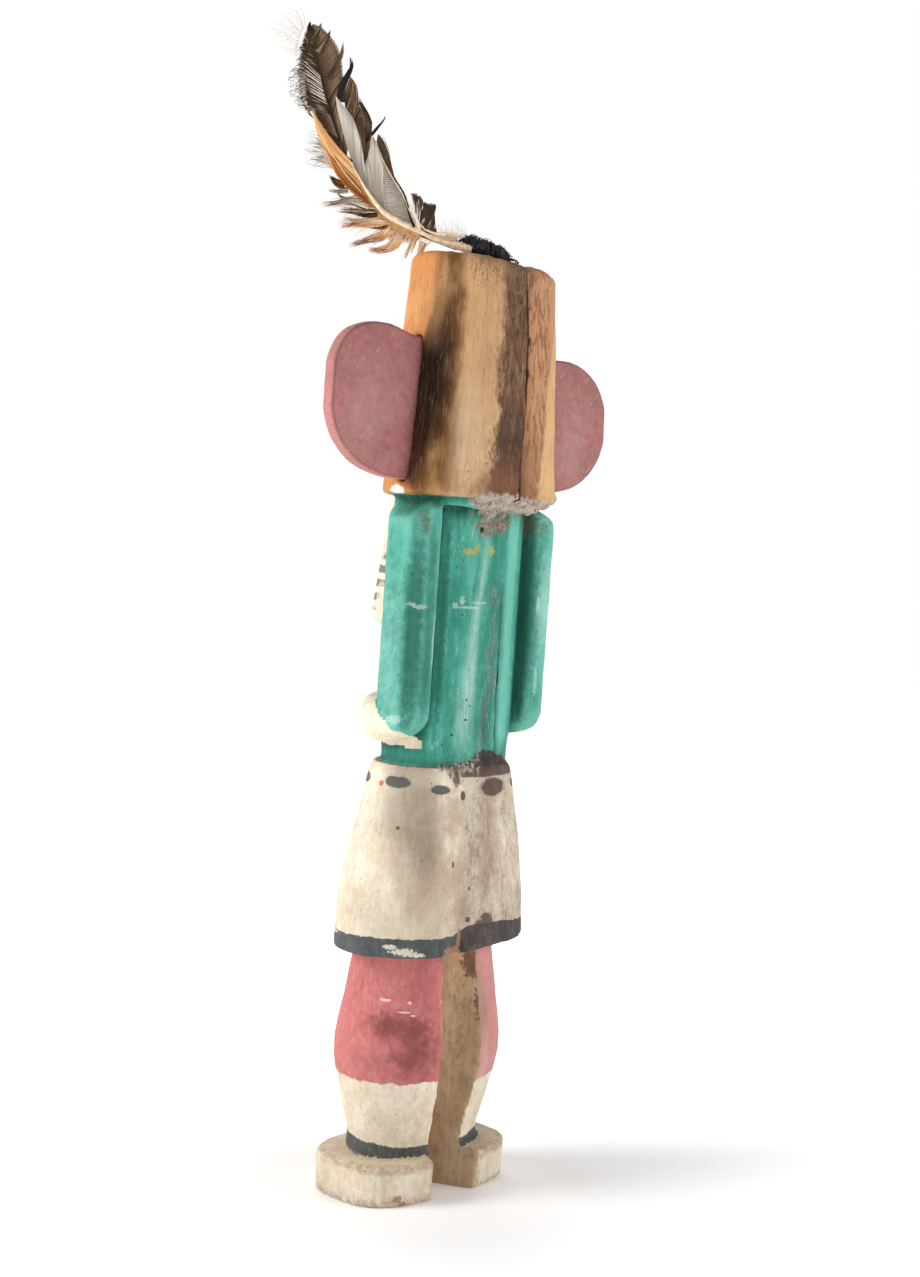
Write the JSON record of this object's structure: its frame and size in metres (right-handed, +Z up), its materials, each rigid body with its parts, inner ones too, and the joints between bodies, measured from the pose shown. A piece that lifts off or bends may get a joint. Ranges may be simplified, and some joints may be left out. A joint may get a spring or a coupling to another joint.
{
  "type": "kachina doll",
  "caption": "Carved and painted wooden kachina doll with a flat-topped case mask, tablet ears, a kilt and a leaning spray of feathers, standing on flat soles.",
  "frame": {"origin": "on the floor, under the middle of the whole doll's length and breadth", "axes": "+Z up along the doll's height, -Y the way the face looks, +X towards the doll's own left"},
  "size_m": [0.1242, 0.0686, 0.3809],
  "materials": {
    "painted_root": "matte old paint over root wood, worn and dusty",
    "painted_tablet": "matte dusty rose paint, lighter at the rim",
    "binding_yarn": "dark tarred yarn with a slight sheen",
    "dark_feather": "frayed dark brown feather",
    "rust_feather": "frayed rust and cream feather",
    "grey_feather": "frayed grey-white feather"
  },
  "bodies": {
    "root": {"figure": "painted_root", "ear_left": "painted_tablet", "ear_right": "painted_tablet", "binding": "binding_yarn", "feather_dark": "dark_feather", "feather_rust": "rust_feather", "feather_grey": "grey_feather", "feather_flag": "dark_feather"}
  },
  "joints": []
}
